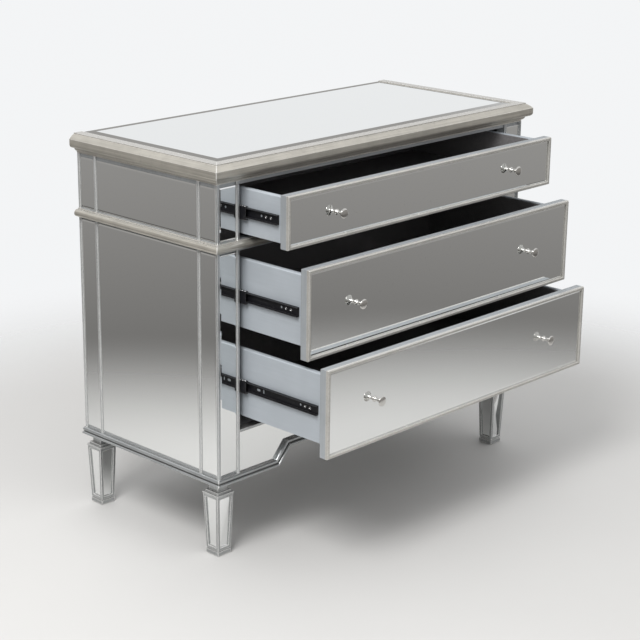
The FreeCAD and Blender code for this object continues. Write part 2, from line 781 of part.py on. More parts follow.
front_half = opening - S["side_gap"]
box_half = opening - S["slide_space"]
closed_back = front - S["front_proud"] + S["frame_depth"] + S["front_board"]


def drawer_frame(name, face, low, high):
    """Four mitred strips round a drawer front, chamfered along both front edges."""
    deep = face + S["frame_depth"]
    wide = S["frame_width"]
    slant = S["frame_chamfer"]
    rail = [
        (deep, high),
        (face + slant, high),
        (face, high - slant),
        (face, high - wide + slant),
        (face + slant, high - wide),
        (deep, high - wide),
    ]
    upper = bar(f"{name}_upper_strip", "YZ_Plane", rail, -front_half, front_half * 2)
    corner = (-front_half, high)
    inner = (-front_half + wide * 2, high - wide * 2)
    below = [corner, (-front_half, high - wide * 2), inner]
    notch(upper, f"{name}_upper_mitres", "XZ_Plane", [below, across(below)])
    post = [
        (-front_half, deep),
        (-front_half, face + slant),
        (-front_half + slant, face),
        (-front_half + wide - slant, face),
        (-front_half + wide, face + slant),
        (-front_half + wide, deep),
    ]
    upright = bar(f"{name}_left_strip", "XY_Plane", post, low, high - low)
    beyond = [corner, inner, (-front_half + wide * 2, high)]
    centre = (low + high) / 2
    foot = [(x, centre * 2 - z) for x, z in reversed(beyond)]
    notch(upright, f"{name}_left_mitres", "XZ_Plane", [beyond, foot])
    lower = mirrored(f"{name}_lower_strip", upper, V(0, 0, 1), centre)
    return group(f"{name}_frame", [upper, lower, upright, mirrored(f"{name}_right_strip", upright)])


def drawer_side(name, rear, low, high):
    """A drawer's left side, chamfered along its top and grooved for the bottom."""
    outer = -box_half
    inner = outer + S["box_side"]
    slant = S["side_chamfer"]
    groove = low + S["bottom_lift"]
    section = [
        (outer, low),
        (inner, low),
        (inner, groove),
        (inner - S["groove_depth"], groove),
        (inner - S["groove_depth"], groove + S["box_bottom"]),
        (inner, groove + S["box_bottom"]),
        (inner, high - slant),
        (inner - slant, high),
        (outer + slant, high),
        (outer, high - slant),
    ]
    return bar(f"{name}_left_side", "XZ_Plane", section, rear, S["box_depth"])


def knob(name, seat, height):
    """A spreading foot, a neck and a trumpet head with a flat face, turned about Y."""
    piece = body(f"{name}_left_knob")
    profile = [
        (0, 0),
        (S["knob_base"], 0),
        (S["knob_neck"], -S["neck_start"]),
        (S["knob_neck"], -S["neck_end"]),
        (S["knob_head"], -S["flare_end"]),
        (S["knob_face"], -S["knob_length"]),
        (0, -S["knob_length"]),
    ]
    turning = piece.newObject("PartDesign::Revolution", f"{name}_turning")
    turning.Profile = sketch(piece, f"{name}_knob_profile", "XY_Plane", [profile])
    turning.ReferenceAxis = (turning.Profile[0], ["V_Axis"])
    turning.Angle = 360
    for axis, value in zip("xyz", (-S["knob_spread"] / 2, seat, height)):
        bind(piece, f"Placement.Base.{axis}", value)
    return piece


def channel(name, web, tips, half_height, sheet_thickness, rear, length):
    """A slide member: a web with two lips, run along Y."""
    inner = half_height - sheet_thickness
    web_inner = web + sheet_thickness if number(tips) > number(web) else web - sheet_thickness
    middle_height = name[1]
    points = [
        (web, middle_height - half_height),
        (tips, middle_height - half_height),
        (tips, middle_height - inner),
        (web_inner, middle_height - inner),
        (web_inner, middle_height + inner),
        (tips, middle_height + inner),
        (tips, middle_height + half_height),
        (web, middle_height + half_height),
    ]
    return bar(name[0], "XZ_Plane", points, rear, length)


def ring(x, z, radius):
    """A round hole as two half turns of two quarters each."""
    return [
        (x + radius, z, radius),
        (x, z + radius, radius),
        (x - radius, z, radius),
        (x, z - radius, radius),
    ]


def upright_slot(y, z, radius, straight):
    """A slot with round ends, longer upwards than across."""
    top = z + straight / 2
    foot = z - straight / 2
    return [
        (y + radius, foot),
        (y + radius, top, radius),
        (y, top + radius, radius),
        (y - radius, top),
        (y - radius, foot, radius),
        (y, foot - radius, radius),
    ]


def level_slot(y, z, radius, straight):
    """A slot with round ends, longer across than upwards."""
    far = y + straight / 2
    near = y - straight / 2
    return [
        (near, z - radius),
        (far, z - radius, radius),
        (far + radius, z, radius),
        (far, z + radius),
        (near, z + radius, radius),
        (near - radius, z, radius),
    ]


def drawer_slide(name, rear, height):
    """The left drawer member with its screw holes and two slots, fixed to the drawer's side."""
    web = -box_half
    start = rear + S["runner_setback"]
    label = (f"{name}_left_runner", height)
    tips = web - S["runner_lip"]
    member = channel(label, web, tips, S["runner_height"] / 2, S["slide_sheet"], start, S["slide_length"])
    first = start + S["hole_first"]
    holes = [ring(first + S["hole_pitch"] * count, height, S["hole_radius"]) for count in range(3)]
    slot_y = start + S["slot_from_end"]
    holes.append(upright_slot(slot_y, height, S["slot_radius"], S["slot_height"]))
    holes.append(level_slot(slot_y + S["oval_step"], height, S["hole_radius"], S["slot_height"]))
    notch(member, f"{name}_runner_holes", "YZ_Plane", holes)
    return member


def case_slide(name, height):
    """The left case member, fixed to its batten."""
    start = closed_back + S["rail_setback"]
    label = (f"{name}_left_rail", height)
    tips = -opening + S["rail_lip"]
    return channel(label, -opening, tips, S["rail_height"] / 2, S["slide_sheet"], start, S["slide_length"])


def ball_cage(name, height):
    """The left ball cage, running between the two members."""
    gap = S["ball_gap"]
    web = -opening + S["slide_sheet"] + gap
    tips = web + S["cage_lip"]
    outer = S["rail_height"] / 2 - S["slide_sheet"] - gap
    rows = outer - S["runner_height"] / 2 - gap
    points = [
        (web, height - outer),
        (tips, height - outer),
        (tips, height - outer + rows),
        (web + S["slide_sheet"], height - outer + rows),
        (web + S["slide_sheet"], height + outer - rows),
        (tips, height + outer - rows),
        (tips, height + outer),
        (web, height + outer),
    ]
    return bar(f"{name}_left_cage", "XZ_Plane", points, front - S["cage_reach"], S["cage_length"])


def batten(name, height):
    """The packing that brings the case member out to the opening."""
    low = height - S["batten_height"] / 2
    end = closed_back + S["rail_setback"] + S["slide_length"]
    return block(f"{name}_batten", (-inside, behind_stile, low), (-opening, end, low + S["batten_height"]))


def drawer(name, low, tall, opened, box_lift, box_drop):
    """One drawer with its front, box, knobs and drawer members, where it stands when pulled out."""
    high = low + tall
    centre = low + tall / 2
    face = front - S["front_proud"] - opened
    board = face + S["frame_depth"]
    rear = board + S["front_board"]
    end = rear + S["box_depth"]
    box_low = low + box_lift
    box_high = high - box_drop
    bottom_low = box_low + S["bottom_lift"]
    bottom_high = bottom_low + S["box_bottom"]
    inner = box_half - S["box_side"]
    tongue = inner + S["groove_depth"]
    pane = front_half - S["frame_width"] - S["fit"]
    rim = S["frame_width"] + S["fit"]
    seat = board - S["glass"]

    plank = block(f"{name}_front", (-front_half, board, low), (front_half, rear, high))
    keep(f"{name}_front", plank)
    keep(f"{name}_frame", drawer_frame(name, face, low, high))
    mirror = bevelled_pane(f"{name}_mirror", "XZ_Plane", (-pane, low + rim), (pane, high - rim), board)
    keep(f"{name}_mirror", mirror)
    keep(f"{name}_sides", pair(f"{name}_sides", drawer_side(name, rear, box_low, box_high)))
    panel_low = (-inner, end - S["box_back"], bottom_high)
    panel_high = (inner, end, box_high - S["back_drop"])
    keep(f"{name}_back", block(f"{name}_back", panel_low, panel_high))
    bottom = block(f"{name}_bottom", (-tongue, rear, bottom_low), (tongue, end, bottom_high))
    keep(f"{name}_bottom", bottom)
    keep(f"{name}_knobs", pair(f"{name}_knobs", knob(name, seat, centre)))
    keep(f"{name}_slides", pair(f"{name}_slides", drawer_slide(name, rear, centre)))
    keep(f"{name}_ball_cages", pair(f"{name}_ball_cages", ball_cage(name, centre)))
    return pair(f"{name}_rails", case_slide(name, centre)), pair(f"{name}_battens", batten(name, centre))


LOW_BOX = (S["low_box_lift"], S["low_box_drop"])
TOP_BOX = (S["top_box_lift"], S["top_box_drop"])
rails_and_battens = (
    drawer("top_drawer", top_low, S["top_front"], S["top_open"], *TOP_BOX),
    drawer("middle_drawer", middle_low, S["lower_front"], S["middle_open"], *LOW_BOX),
    drawer("bottom_drawer", bottom_low, S["lower_front"], S["bottom_open"], *LOW_BOX),
)
keep("case_slides", group("case_slides", [rails for rails, battens in rails_and_battens]))
keep("slide_battens", group("slide_battens", [battens for rails, battens in rails_and_battens]))


# Build, look for anything that failed, then write each piece

doc.recompute()
for item in doc.Objects:
    if "Invalid" in item.State or "Error" in item.State:
        raise RuntimeError(f"{item.Name} failed: {item.State}")
for label, item in nodes.items():
    if item.Shape.isNull() or not item.Shape.isValid() or not item.Shape.Solids:
        raise RuntimeError(f"{label} has no sound solid")

os.makedirs("parts", exist_ok=True)
for label, item in nodes.items():
    item.Shape.exportStep(f"parts/{label}.step")
    print(label, len(item.Shape.Solids), round(item.Shape.Volume))
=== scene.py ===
"""Looks for a mirrored chest of drawers: silver leaf, mirror glass, painted boxes and black slides.

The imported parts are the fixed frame. This script gives each of them its finish, turns the knobs, sets the
balls and screws of the slides, and puts the chest in a plain studio. All lengths are in metres.
"""

import math

import bmesh
import bpy
from bpy.props import FloatProperty, FloatVectorProperty, PointerProperty
from mathutils import Matrix, Vector


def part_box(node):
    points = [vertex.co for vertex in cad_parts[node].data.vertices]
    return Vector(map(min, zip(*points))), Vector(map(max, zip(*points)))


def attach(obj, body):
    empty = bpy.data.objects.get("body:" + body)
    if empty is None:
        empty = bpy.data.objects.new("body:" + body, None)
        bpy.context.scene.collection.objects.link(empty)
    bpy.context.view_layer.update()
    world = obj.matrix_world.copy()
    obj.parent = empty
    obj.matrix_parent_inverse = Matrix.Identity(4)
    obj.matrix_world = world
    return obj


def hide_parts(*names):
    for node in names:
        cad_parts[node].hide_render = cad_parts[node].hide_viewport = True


bl_info = {
    "name": "Mirrored Chest Finishes",
    "version": (1, 0, 0),
    "blender": (4, 5, 0),
    "location": "View3D > Sidebar > Chest",
    "description": "Finishes the parts of a mirrored chest of drawers and sets a plain studio around it",
    "category": "Object",
}

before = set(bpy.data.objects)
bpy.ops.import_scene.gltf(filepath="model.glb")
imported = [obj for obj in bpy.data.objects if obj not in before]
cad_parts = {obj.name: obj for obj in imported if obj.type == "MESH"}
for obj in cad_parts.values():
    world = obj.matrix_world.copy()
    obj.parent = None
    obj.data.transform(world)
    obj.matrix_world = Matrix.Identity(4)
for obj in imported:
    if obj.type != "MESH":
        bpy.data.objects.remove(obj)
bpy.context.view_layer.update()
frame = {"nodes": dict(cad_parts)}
NODES = frame["nodes"]

DRAWERS = ("top_drawer", "middle_drawer", "bottom_drawer")
LEGS = ("front_left_leg", "front_right_leg", "back_left_leg", "back_right_leg")
ALONG_X, ALONG_Y, ALONG_Z = range(3)

# features to the metre in the finishes: fine ones lie across a piece, and runs along it
BRUSH_MARKS = 420
BRUSH_RUN = 7
LEAF_CLOUDS = 26
LEAF_RUBS = 75
GLASS_FILM = 7
GLASS_SPECKS = 310
GLASS_WAVES = 3.2
PAINT_GRAIN = 300
PAINT_RUN = 10
PAINT_CLOUDS = 9
PAINT_PEEL = 900
SIDE_GRAIN = 260
SIDE_RUN = 12
SIDE_CLOUDS = 8
LINING_FLECK = 700
LINING_DUST = 12
BOARD_FIBRE = 160
BOARD_CLOUDS = 6
SLIDE_TRACK = 900
SLIDE_RUN = 14
SLIDE_CHIPS = 240
CHROME_FILM = 90
PAD_SCUFF = 220
FLOOR_CLOUDS = 3

# lengths in metres
GROOVE_DEPTH = 0.005
# width of the slides' lightened edges, rubbing and a painted highlight
SLIDE_WEAR_AND_HIGHLIGHT = 0.0008
PAINT_LINE = 0.0002
WELD_GAP = 0.00001

# soft edges, and the fineness of what is turned
EDGE_STEPS = 2
EDGE_ANGLE = math.radians(24)
KNOB_STEPS = 48
SCREW_STEPS = 20
BALL_STEPS = 3
FLOOR_STEPS = 96

SLIDE_SCREWS = 2
# radius and height of a screw's head and its socket, as shares of the head's radius
SCREW_PROFILE = ((1.0, 0), (1.0, 0.2), (0.85, 0.42), (0.42, 0.5), (0.42, 0.2), (0, 0.2))
# the way to the soft light in front of the chest
FRONT_LIGHT = (0.30, -0.954, 0)


def colour(name, description, default):
    """A colour that a user may change."""
    return FloatVectorProperty(
        name=name, description=description, default=default, subtype="COLOR", min=0, max=1
    )


def length(name, description, default):
    """A length that a user may change."""
    return FloatProperty(
        name=name, description=description, default=default, subtype="DISTANCE", unit="LENGTH"
    )


def place(name, description, default):
    """A point that a user may change."""
    return FloatVectorProperty(
        name=name, description=description, default=default, subtype="XYZ", unit="LENGTH"
    )


def angle(name, description, degrees):
    """An angle that a user may change, given in degrees."""
    return FloatProperty(name=name, description=description, default=math.radians(degrees), subtype="ANGLE")


def number(name, description, default):
    """A plain number that a user may change."""
    return FloatProperty(name=name, description=description, default=default)


class ChestColours(bpy.types.PropertyGroup):
    """Colours of the finishes."""

    champagne: colour("Champagne leaf", "Leaf on the crown and waist mouldings", (0.58, 0.55, 0.49))
    silver: colour("Silver leaf", "Leaf on the strips, apron and base moulding", (0.45, 0.465, 0.47))
    leg: colour("Leg leaf", "Darker leaf on the legs", (0.40, 0.41, 0.41))
    slab: colour("Drawer slab", "Silver paint on the edges of the drawer fronts", (0.40, 0.425, 0.445))
    frame: colour("Drawer frame", "Warm silver on the strips round the drawer fronts", (0.50, 0.485, 0.45))
    # A painted highlight as well as rubbing: the leaf's edges and level faces are lightened towards this pale
    # colour.
    rubbed_and_highlit: colour("Rubbed edge", "Leaf rubbed bright along the edges", (0.90, 0.89, 0.87))
    # Darkens the leaf's occluded grooves, as painted shade and glazing; also the colour of the specks in the
    # mirror silvering.
    glaze_and_shade: colour("Glaze", "Grey-brown glaze that has settled in the grooves", (0.10, 0.095, 0.085))
    mirror: colour("Mirror", "Silvering seen through the glass", (0.84, 0.85, 0.845))
    glass_edge: colour("Glass edge", "Cut edge of the mirror glass", (0.36, 0.38, 0.38))
    case: colour("Case paint", "Silver-grey paint of the case boards", (0.43, 0.445, 0.455))
    box: colour("Drawer paint", "Pale paint of the drawer sides", (0.44, 0.475, 0.51))
    lining: colour("Lining", "Black inside the drawers", (0.13, 0.125, 0.126))
    back: colour("Back board", "Hardboard of the back", (0.125, 0.105, 0.09))
    slide: colour("Slide enamel", "Black enamel of the slides", (0.007, 0.007, 0.009))
    chrome: colour("Chrome", "Plating of the knobs", (0.62, 0.605, 0.58))
    screw: colour("Screws", "Dark steel of the screws and balls", (0.30, 0.30, 0.305))
    glide: colour("Glide", "Plastic pads under the feet", (0.02, 0.02, 0.02))


class ChestDetails(bpy.types.PropertyGroup):
    """Sizes of the small parts."""

    soft_edge: length("Soft edge", "Round on the edges of wood and leaf", 0.0006)
    glass_edge: length("Ground edge", "Ground edge of the mirror panes", 0.0004)
    ball: length("Ball", "Radius of the slides' balls", 0.0026)
    ball_pitch: length("Ball pitch", "Balls along a cage", 0.0075)
    cage_sheet: length("Cage sheet", "Sheet of the ball cages", 0.0012)
    screw: length("Screw head", "Radius of a screw's head", 0.0036)
    screw_start: length("First screw", "First screw from a drawer member's front end", 0.022)
    screw_step: length("Screw pitch", "Screws on a drawer member", 0.014)
    back_screw_step: length("Back screws", "Screws along the edges of the back", 0.19)
    back_screw_inset: length("Back screw inset", "Screws in from the edges of the back", 0.012)
    back_screw_sink: length("Back screw sink", "Screw heads sunk into the back", 0.0011)


class ChestStage(bpy.types.PropertyGroup):
    """Studio and camera."""

    floor: colour("Floor", "Pale floor", (0.62, 0.61, 0.595))
    backdrop: colour("Backdrop", "Pale wall of light behind the chest", (0.90, 0.91, 0.92))
    sides: colour("Studio sides", "Dimmer sides of the studio", (0.25, 0.243, 0.235))
    floor_near: length("Floor", "Radius of the whole floor", 0.9)
    floor_far: length("Floor fade", "Radius where the floor has faded out", 1.9)
    lamp_place: place("Lamp", "Place of the lamp", (-2.5, -0.9, 3.2))
    lamp_aim: place("Lamp aim", "Where the lamp points", (0, 0.1, 0.45))
    lamp_size: length("Lamp size", "Width of the lamp", 1.5)
    lamp_power: number("Lamp power", "Power of the lamp in watts", 108)
    camera_place: place("Camera", "Camera place", (-2.7881, -2.5582, 1.5945))
    yaw: angle("Yaw", "Turn from +Y to +X", 45.47)
    pitch: angle("Pitch", "Tilt down", 17.32)
    roll: angle("Roll", "Lean of the camera", 0.38)
    lens: number("Lens", "Focal length in millimetres", 97.12)
    shift_x: number("Shift X", "Camera shift to the right", 0.0420)
    shift_y: number("Shift Y", "Camera shift upwards", -0.0037)


class Wire:
    """One output of a node; arithmetic on it adds Math nodes."""

    def __init__(self, tree, socket):
        self.tree = tree
        self.socket = socket

    def __add__(self, other):
        return self.tree.maths("ADD", self, other)

    def __sub__(self, other):
        return self.tree.maths("SUBTRACT", self, other)

    def __rsub__(self, other):
        return self.tree.maths("SUBTRACT", other, self)

    def __mul__(self, other):
        return self.tree.maths("MULTIPLY", self, other)

    __radd__ = __add__
    __rmul__ = __mul__


class Tree:
    """The nodes of a material or of the world."""

    def __init__(self, owner):
        owner.use_nodes = True
        self.nodes = owner.node_tree.nodes
        self.links = owner.node_tree.links
        self.nodes.clear()

    def node(self, kind, settings=None, sockets=None, output=0):
        """Add a node: its settings first, then the values or wires of its sockets. Gives one output back."""
        made = self.nodes.new(kind)
        for name, value in (settings or {}).items():
            setattr(made, name, value)
        for name, value in (sockets or {}).items():
            if isinstance(value, Wire):
                self.links.new(value.socket, made.inputs[name])
            else:
                made.inputs[name].default_value = value
        return Wire(self, made.outputs[output]) if made.outputs else made

    def maths(self, operation, first, second):
        """One step of arithmetic."""
        return self.node("ShaderNodeMath", {"operation": operation}, {0: first, 1: second})

    def place(self):
        """The point on the surface, in the chest's own frame, whatever the pose."""
        return self.node("ShaderNodeTexCoord", output="Object")

    def facing(self):
        """The surface's own direction, in the chest's frame."""
        return self.node("ShaderNodeTexCoord", output="Normal")

    def flat(self):
        """The direction of the face itself, with no shading across its edges."""
        return self.node("ShaderNodeNewGeometry", output="True Normal")

    def part(self, vector, axis):
        """One part of a vector."""
        return self.node("ShaderNodeSeparateXYZ", None, {0: vector}, axis)

    def dot(self, first, second):
        """How far two vectors point the same way."""
        settings = {"operation": "DOT_PRODUCT"}
        return self.node("ShaderNodeVectorMath", settings, {0: first, 1: second}, "Value")

    def noise(self, fine, run=None, along=ALONG_X, detail=3.0):
        """Cloudy noise with so many features to the metre, and fewer along an axis where a run is given."""
        stretch = [fine] * 3
        if run:
            stretch[along] = run
        spread = self.node("ShaderNodeVectorMath", {"operation": "MULTIPLY"}, {0: self.place(), 1: stretch})
        return self.node("ShaderNodeTexNoise", None, {"Vector": spread, "Scale": 1.0, "Detail": detail})

    def ramp(self, value, low, high):
        """A soft step from 0 at low to 1 at high."""
        limits = {"Value": value, "From Min": low, "From Max": high}
        return self.node("ShaderNodeMapRange", {"interpolation_type": "SMOOTHSTEP"}, limits)

    def mix(self, share, first, second):
        """A colour between two."""
        colours = {0: share, 6: first, 7: second}
        return self.node("ShaderNodeMix", {"data_type": "RGBA"}, colours, 2)

    def grooves(self, depth):
        """1 in the grooves and corners of a piece and 0 out in the open."""
        settings = {"samples": 8, "only_local": True}
        openness = self.node("ShaderNodeAmbientOcclusion", settings, {"Distance": depth}, "AO")
        return 1.0 - self.ramp(openness, 0.35, 0.85)

    def arrises(self, width):
        """1 along the edges of a piece and 0 on its faces."""
        rounded = self.node("ShaderNodeBevel", {"samples": 4}, {"Radius": width})
        return 1.0 - self.ramp(self.dot(rounded, self.flat()), 0.90, 0.985)

    def bump(self, height, strength, distance):
        """A surface direction that follows a height."""
        sockets = {"Height": height, "Strength": strength, "Distance": distance}
        return self.node("ShaderNodeBump", None, sockets)

    def surface(self, **sockets):
        """The principled shader, joined to the material's output."""
        named = {name.replace("_", " "): value for name, value in sockets.items()}
        shader = self.node("ShaderNodeBsdfPrincipled", None, named)
        self.node("ShaderNodeOutputMaterial", None, {"Surface": shader})


def finish(name, build, *settings):
    """A material, built once and then shared."""
    known = bpy.data.materials.get(name)
    if known is None:
        known = bpy.data.materials.new(name)
        build(Tree(known), *settings)
    return known


def solid(rgb):
    """A colour with full alpha."""
    return (*rgb, 1.0)


def shade(rgb, share):
    """A colour with full alpha, made paler or darker by a share."""
    return (*(min(part * share, 1.0) for part in rgb), 1.0)


def brushed(tree, along):
    """Brush marks along a piece, and the tone of its coat."""
    marks = tree.noise(BRUSH_MARKS, BRUSH_RUN, along, detail=4.0)
    clouds = tree.noise(LEAF_CLOUDS)
    return marks, tree.ramp(marks * 0.6 + clouds * 0.4, 0.34, 0.62)


def flecked(tree, lining):
    """The fine fleck of a black lining, and its colour."""
    fleck = tree.noise(LINING_FLECK, detail=2.0)
    return fleck, tree.mix(tree.ramp(fleck, 0.42, 0.72), solid(lining), shade(lining, 2.0))


def silver_leaf(tree, colours, leaf, along, metal, rough, wear_and_highlight_width):
    """Leaf with brush marks and dull clouds. Its grooves are darkened by glazing and by painted shade, its
    edges are lightened by rubbing and by a painted highlight, and its level faces are lightened as a painted
    highlight.
    """
    marks, tone = brushed(tree, along)
    rubbed_and_highlit = tree.ramp(tree.noise(LEAF_RUBS, detail=5.0), 0.58, 0.78)
    laid = tree.mix(tone, shade(leaf, 0.80), solid(leaf))
    grooves = tree.grooves(GROOVE_DEPTH)
    # Painted shade as well as glazing: the occluded grooves are darkened towards the grey-brown colour, and
    # random rubbing spots a little too.
    glazed_and_shaded = tree.mix(grooves * 0.5 + rubbed_and_highlit * 0.14, laid, solid(colours.glaze_and_shade))
    # Painted highlight as well as rubbing: edges are lightened and made less metallic; up-facing level faces
    # are lightened and smoothed as a painted highlight.
    worn_and_highlit = tree.arrises(wear_and_highlight_width) * (1.0 - grooves)
    level = tree.ramp(tree.part(tree.flat(), ALONG_Z), 0.96, 0.99)
    bright = tree.maths("MAXIMUM", worn_and_highlit * 0.85, level * 0.5)
    tree.surface(
        Base_Color=tree.mix(bright, glazed_and_shaded, solid(colours.rubbed_and_highlit)),
        Metallic=metal - worn_and_highlit * metal * 0.7,
        Roughness=rough + marks * 0.16 + rubbed_and_highlit * 0.1 - level * 0.14,
        Normal=tree.bump(marks, 0.22, 0.0004),
    )


def mirror_glass(tree, colours, facings):
    """Silvered glass with a faint film on it, and a cut edge that shows the glass."""
    film = tree.ramp(tree.noise(GLASS_FILM, detail=4.0), 0.45, 0.75)
    specks = tree.ramp(tree.noise(GLASS_SPECKS, detail=1.0), 0.70, 0.78)
    facing = tree.facing()
    sheets = [tree.part(facing, axis) for axis in facings]
    edge = 1.0 - tree.ramp(sum(sheet * sheet for sheet in sheets), 0.2, 0.45)
    silver = tree.mix(specks * 0.12, solid(colours.mirror), solid(colours.glaze_and_shade))
    tree.surface(
        Base_Color=tree.mix(edge, silver, solid(colours.glass_edge)),
        Metallic=1.0,
        Roughness=0.012 + film * 0.03 + edge * 0.12,
        Normal=tree.bump(tree.noise(GLASS_WAVES, detail=1.0), 0.05, 0.002),
    )


def satin_paint(tree, paint, along):
    """Sprayed silver-grey paint over fine grain."""
    grain = tree.noise(PAINT_GRAIN, PAINT_RUN, along, detail=4.0)
    clouds = tree.noise(PAINT_CLOUDS)
    peel = tree.noise(PAINT_PEEL, detail=1.0)
    tone = tree.ramp(grain * 0.5 + clouds * 0.5, 0.35, 0.62)
    tree.surface(
        Base_Color=tree.mix(tone, shade(paint, 0.82), solid(paint)),
        Metallic=0.25,
        Roughness=0.36 + grain * 0.14,
        Normal=tree.bump(peel * 0.4 + grain, 0.12, 0.0003),
    )


def lined_side(tree, paint, lining, inner):
    """A drawer side: satin paint outside and on top, black lining inside a distance from the middle."""
    outwards = tree.maths("ABSOLUTE", tree.part(tree.place(), ALONG_X), 0.0)
    black = 1.0 - tree.ramp(outwards, inner - PAINT_LINE, inner + PAINT_LINE)
    grain = tree.noise(SIDE_GRAIN, SIDE_RUN, ALONG_Y, detail=4.0)
    tone = tree.ramp(grain * 0.3 + tree.noise(SIDE_CLOUDS) * 0.7, 0.36, 0.62)
    outside = tree.mix(tone, shade(paint, 0.92), solid(paint))
    fleck, inside = flecked(tree, lining)
    tree.surface(
        Base_Color=tree.mix(black, outside, inside),
        Metallic=0.2 - black * 0.2,
        Roughness=0.36 + grain * 0.12 + black * 0.16,
        Normal=tree.bump(fleck * 0.5 + grain, 0.12, 0.0003),
    )


def lined_front(tree, paint, lining, rear):
    """A drawer front's board: silver paint on its edges and black lining behind a place along Y."""
    black = tree.ramp(tree.part(tree.place(), ALONG_Y), rear - PAINT_LINE, rear + PAINT_LINE)
    marks, tone = brushed(tree, ALONG_Z)
    outside = tree.mix(tone, shade(paint, 0.86), solid(paint))
    fleck, inside = flecked(tree, lining)
    tree.surface(
        Base_Color=tree.mix(black, outside, inside),
        Metallic=0.4 - black * 0.4,
        Roughness=0.36 + marks * 0.16,
        Normal=tree.bump(fleck * 0.3 + marks, 0.18, 0.0003),
    )


def black_lining(tree, lining):
    """Black laminate with a fine fleck and a little dust."""
    fleck = tree.noise(LINING_FLECK, detail=2.0)
    dust = tree.ramp(tree.noise(LINING_DUST, detail=5.0), 0.5, 0.75)
    pale = tree.ramp(fleck, 0.42, 0.72) * 0.6 + dust * 0.3
    tree.surface(
        Base_Color=tree.mix(pale, solid(lining), shade(lining, 2.2)),
        Roughness=0.46 + fleck * 0.14 + dust * 0.1,
        Specular_IOR_Level=0.3,
        Normal=tree.bump(fleck, 0.16, 0.0003),
    )


def hardboard(tree, board):
    """Pressed fibre, smooth and brown-black."""
    fibre = tree.noise(BOARD_FIBRE, detail=5.0)
    clouds = tree.noise(BOARD_CLOUDS)
    tone = tree.ramp(fibre * 0.6 + clouds * 0.4, 0.36, 0.66)
    tree.surface(
        Base_Color=tree.mix(tone, solid(board), shade(board, 1.5)),
        Roughness=0.62 + fibre * 0.16,
        Normal=tree.bump(fibre, 0.2, 0.0004),
    )


def slide_enamel(tree, enamel, steel):
    """Black enamel on sheet steel, thin where parts run along it."""
    track = tree.noise(SLIDE_TRACK, SLIDE_RUN, ALONG_Y)
    chips = tree.ramp(tree.noise(SLIDE_CHIPS), 0.66, 0.74)
    # Edges lightened towards steel are rubbing and a painted highlight; the track and the chips are rubbing.
    worn_and_highlit = tree.ramp(track, 0.60, 0.80) * 0.16 + chips * 0.12 + tree.arrises(SLIDE_WEAR_AND_HIGHLIGHT) * 0.3
    tree.surface(
        Base_Color=tree.mix(worn_and_highlit * 0.5, solid(enamel), solid(steel)),
        Metallic=worn_and_highlit * 0.8,
        Roughness=0.34 + track * 0.16,
        Specular_IOR_Level=0.2,
        Normal=tree.bump(track, 0.1, 0.0002),
    )


def polished_chrome(tree, chrome):
    """Bright plating with a faint handling film."""
    film = tree.noise(CHROME_FILM)
    tree.surface(
        Base_Color=solid(chrome),
        Metallic=1.0,
        Roughness=0.11 + film * 0.08,
        Normal=tree.bump(film, 0.03, 0.0003),
    )


def pad_plastic(tree, plastic):
    """Dull black plastic, scuffed underneath."""
    scuff = tree.noise(PAD_SCUFF, detail=4.0)
    tree.surface(
        Base_Color=tree.mix(tree.ramp(scuff, 0.5, 0.8), solid(plastic), shade(plastic, 3.0)),
        Roughness=0.55 + scuff * 0.2,
        Normal=tree.bump(scuff, 0.2, 0.0003),
    )


def dress(node, material, edge, even=False):
    """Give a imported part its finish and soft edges, with crisp faces or, on rounded forms, even shading."""
    part = NODES[node]
    part.data.materials.clear()
    part.data.materials.append(material)
    weld = part.modifiers.new("Weld", "WELD")
    weld.merge_threshold = WELD_GAP
    bevel = part.modifiers.new("Soft edges", "BEVEL")
    bevel.width = edge
    bevel.segments = EDGE_STEPS
    bevel.limit_method = "ANGLE"
    bevel.angle_limit = EDGE_ANGLE
    bevel.use_clamp_overlap = True
    if even:
        normals = part.modifiers.new("Even shading", "WEIGHTED_NORMAL")
        normals.keep_sharp = False


def add_piece(name, mesh, material, body):
    """Link a new piece, and let it move with one of the chest's bodies."""
    piece = bpy.data.objects.new(name, mesh)
    bpy.context.scene.collection.objects.link(piece)
    mesh.materials.append(material)
    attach(piece, body)
    return piece


def turn(shape, profile, place, towards, steps):
    """Turn a profile of (radius, height) points about an axis that starts at a place."""
    spin = Vector((0, 0, 1)).rotation_difference(Vector(towards)).to_matrix().to_4x4()
    where = Matrix.Translation(place) @ spin
    rings = []
    for radius, height in profile:
        if radius == 0:
            rings.append([shape.verts.new(where @ Vector((0, 0, height)))])
            continue
        turns = [2 * math.pi * step / steps for step in range(steps)]
        points = [Vector((radius * math.cos(a), radius * math.sin(a), height)) for a in turns]
        rings.append([shape.verts.new(where @ point) for point in points])
    for lower, upper in zip(rings, rings[1:]):
        for step in range(steps):
            after = (step + 1) % steps
            below = [lower[step % len(lower)], lower[after % len(lower)]]
            above = [upper[after % len(upper)], upper[step % len(upper)]]
            face = shape.faces.new(dict.fromkeys(below + above))
            face.smooth = True


def plate(shape, low, high):
    """A flat plate between two opposite corners."""
    centre = (Vector(low) + Vector(high)) / 2
    spread = Vector(high) - Vector(low)
    where = Matrix.Translation(centre) @ Matrix.Diagonal((*spread, 1.0))
    bmesh.ops.create_cube(shape, size=1.0, matrix=where)


def mesh_of(name, shape):
    """A finished mesh from a bmesh."""
    bmesh.ops.recalc_face_normals(shape, faces=shape.faces)
    mesh = bpy.data.meshes.new(name)
    shape.to_mesh(mesh)
    shape.free()
    return mesh


